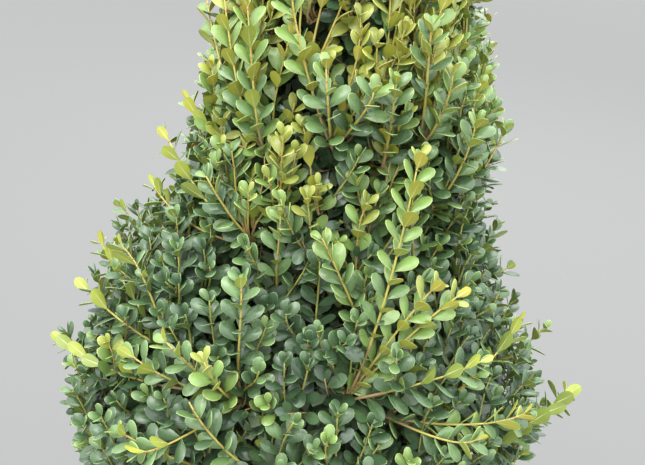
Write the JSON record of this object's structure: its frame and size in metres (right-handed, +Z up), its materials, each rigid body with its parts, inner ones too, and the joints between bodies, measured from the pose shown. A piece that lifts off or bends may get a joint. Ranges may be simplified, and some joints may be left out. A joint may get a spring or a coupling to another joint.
{
  "type": "potted boxwood cone topiary",
  "caption": "Evergreen boxwood clipped to a loose cone, with its forked trunk, boughs and dense leafy masses, in a round black nursery pot with a flat lip and grip lugs.",
  "frame": {"origin": "centre of the pot's flat underside", "axes": "+Z up, along the trunk; +X to the right and -Y towards the viewer, as the plant is seen from the front"},
  "size_m": [0.5371, 0.5342, 1.381],
  "materials": {
    "pot_plastic": "satin blow-moulded black plastic, dusty and scuffed",
    "bark_mulch": "damp shredded bark",
    "bark": "pale tan corky bark",
    "foliage": "waxy evergreen leaves with yellow-green young tips"
  },
  "bodies": {
    "root": {"pot": "pot_plastic", "potting_mix": "bark_mulch", "trunk": "bark", "leader_right": "bark", "leader_left": "bark", "bough_skirt_1": "bark", "bough_skirt_2": "bark", "bough_skirt_3": "bark", "bough_skirt_4": "bark", "bough_skirt_5": "bark", "bough_skirt_6": "bark", "bough_lower_1": "bark", "bough_lower_2": "bark", "bough_lower_3": "bark", "bough_lower_4": "bark", "bough_lower_5": "bark", "bough_upper_1": "bark", "bough_upper_2": "bark", "bough_upper_3": "bark", "bough_upper_4": "bark", "bough_top_1": "bark", "bough_top_3": "bark", "foliage_skirt_1": "foliage", "foliage_skirt_2": "foliage", "foliage_skirt_3": "foliage", "foliage_skirt_4": "foliage", "foliage_skirt_5": "foliage", "foliage_skirt_6": "foliage", "foliage_lower_1": "foliage", "foliage_lower_2": "foliage", "foliage_lower_3": "foliage", "foliage_lower_4": "foliage", "foliage_lower_5": "foliage", "foliage_upper_1": "foliage", "foliage_upper_2": "foliage", "foliage_upper_3": "foliage", "foliage_upper_4": "foliage", "foliage_top_1": "foliage", "foliage_top_2": "foliage", "foliage_top_3": "foliage", "foliage_tip": "foliage"}
  },
  "joints": []
}
